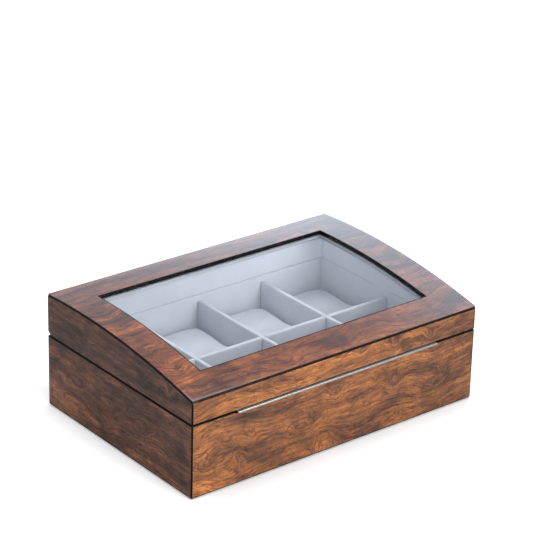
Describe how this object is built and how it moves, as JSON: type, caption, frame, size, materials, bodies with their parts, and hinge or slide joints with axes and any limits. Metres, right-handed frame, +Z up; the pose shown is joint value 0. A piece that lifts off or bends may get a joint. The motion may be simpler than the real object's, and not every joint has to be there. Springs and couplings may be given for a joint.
{
  "type": "watch box",
  "caption": "Rectangular veneered wooden watch box with an arched, glazed, hinged lid over velvet-lined compartments with soft pillows.",
  "frame": {"origin": "middle of the underside of the felt pad, under the middle of the box", "axes": "+X along the front, to the right seen from the front; +Y from the front to the hinged back; +Z up"},
  "size_m": [0.305, 0.2094, 0.1067],
  "materials": {
    "veneer": "burl walnut veneer under a high-gloss clear lacquer, black edge lines",
    "board": "plain fibreboard",
    "felt": "black felt",
    "velvet": "pale blue-grey short-pile velvet",
    "pillow_velvet": "pale blue-grey short-pile velvet over soft foam",
    "glass": "clear polished glass",
    "brushed_nickel": "satin nickel"
  },
  "bodies": {
    "base": {"base_front_panel": "veneer", "base_back_panel": "veneer", "base_left_panel": "veneer", "base_right_panel": "veneer", "base_bottom_board": "board", "base_felt_pad": "felt", "base_lining_front": "velvet", "base_lining_back": "velvet", "base_lining_left": "velvet", "base_lining_right": "velvet", "base_lining_floor": "velvet", "long_divider": "velvet", "cross_divider_1": "velvet", "cross_divider_2": "velvet", "cross_divider_3": "velvet", "hinge_left_base_leaf": "brushed_nickel", "hinge_left_pin": "brushed_nickel", "hinge_left_base_screw_1": "brushed_nickel", "hinge_left_base_screw_2": "brushed_nickel", "hinge_right_base_leaf": "brushed_nickel", "hinge_right_pin": "brushed_nickel", "hinge_right_base_screw_1": "brushed_nickel", "hinge_right_base_screw_2": "brushed_nickel"},
    "lid": {"lid_front_panel": "veneer", "lid_back_panel": "veneer", "lid_left_panel": "veneer", "lid_right_panel": "veneer", "lid_top_frame": "veneer", "lid_lining_front": "velvet", "lid_lining_back": "velvet", "lid_lining_left": "velvet", "lid_lining_right": "velvet", "lid_lining_ceiling": "velvet", "glass_pane": "glass", "lift_strip": "brushed_nickel", "strip_screw_1": "brushed_nickel", "strip_screw_2": "brushed_nickel", "strip_screw_3": "brushed_nickel", "hinge_left_lid_leaf": "brushed_nickel", "hinge_left_lid_screw_1": "brushed_nickel", "hinge_left_lid_screw_2": "brushed_nickel", "hinge_right_lid_leaf": "brushed_nickel", "hinge_right_lid_screw_1": "brushed_nickel", "hinge_right_lid_screw_2": "brushed_nickel"},
    "pillow_1": {"pillow_1": "pillow_velvet"},
    "pillow_2": {"pillow_2": "pillow_velvet"},
    "pillow_3": {"pillow_3": "pillow_velvet"},
    "pillow_4": {"pillow_4": "pillow_velvet"},
    "pillow_5": {"pillow_5": "pillow_velvet"},
    "pillow_6": {"pillow_6": "pillow_velvet"},
    "pillow_7": {"pillow_7": "pillow_velvet"},
    "pillow_8": {"pillow_8": "pillow_velvet"}
  },
  "joints": [
    {"name": "lid_hinge", "type": "hinge", "parent": "base", "child": "lid", "pos_m": [0, 0.10195, 0.067], "axis": [-1, 0, 0], "range_deg": [0, 97]},
    {"name": "pillow_1_lift", "type": "slide", "parent": "base", "child": "pillow_1", "axis": [0, 0, 1], "range_m": [0, 0.035]},
    {"name": "pillow_2_lift", "type": "slide", "parent": "base", "child": "pillow_2", "axis": [0, 0, 1], "range_m": [0, 0.035]},
    {"name": "pillow_3_lift", "type": "slide", "parent": "base", "child": "pillow_3", "axis": [0, 0, 1], "range_m": [0, 0.035]},
    {"name": "pillow_4_lift", "type": "slide", "parent": "base", "child": "pillow_4", "axis": [0, 0, 1], "range_m": [0, 0.035]},
    {"name": "pillow_5_lift", "type": "slide", "parent": "base", "child": "pillow_5", "axis": [0, 0, 1], "range_m": [0, 0.035]},
    {"name": "pillow_6_lift", "type": "slide", "parent": "base", "child": "pillow_6", "axis": [0, 0, 1], "range_m": [0, 0.035]},
    {"name": "pillow_7_lift", "type": "slide", "parent": "base", "child": "pillow_7", "axis": [0, 0, 1], "range_m": [0, 0.035]},
    {"name": "pillow_8_lift", "type": "slide", "parent": "base", "child": "pillow_8", "axis": [0, 0, 1], "range_m": [0, 0.035]}
  ]
}
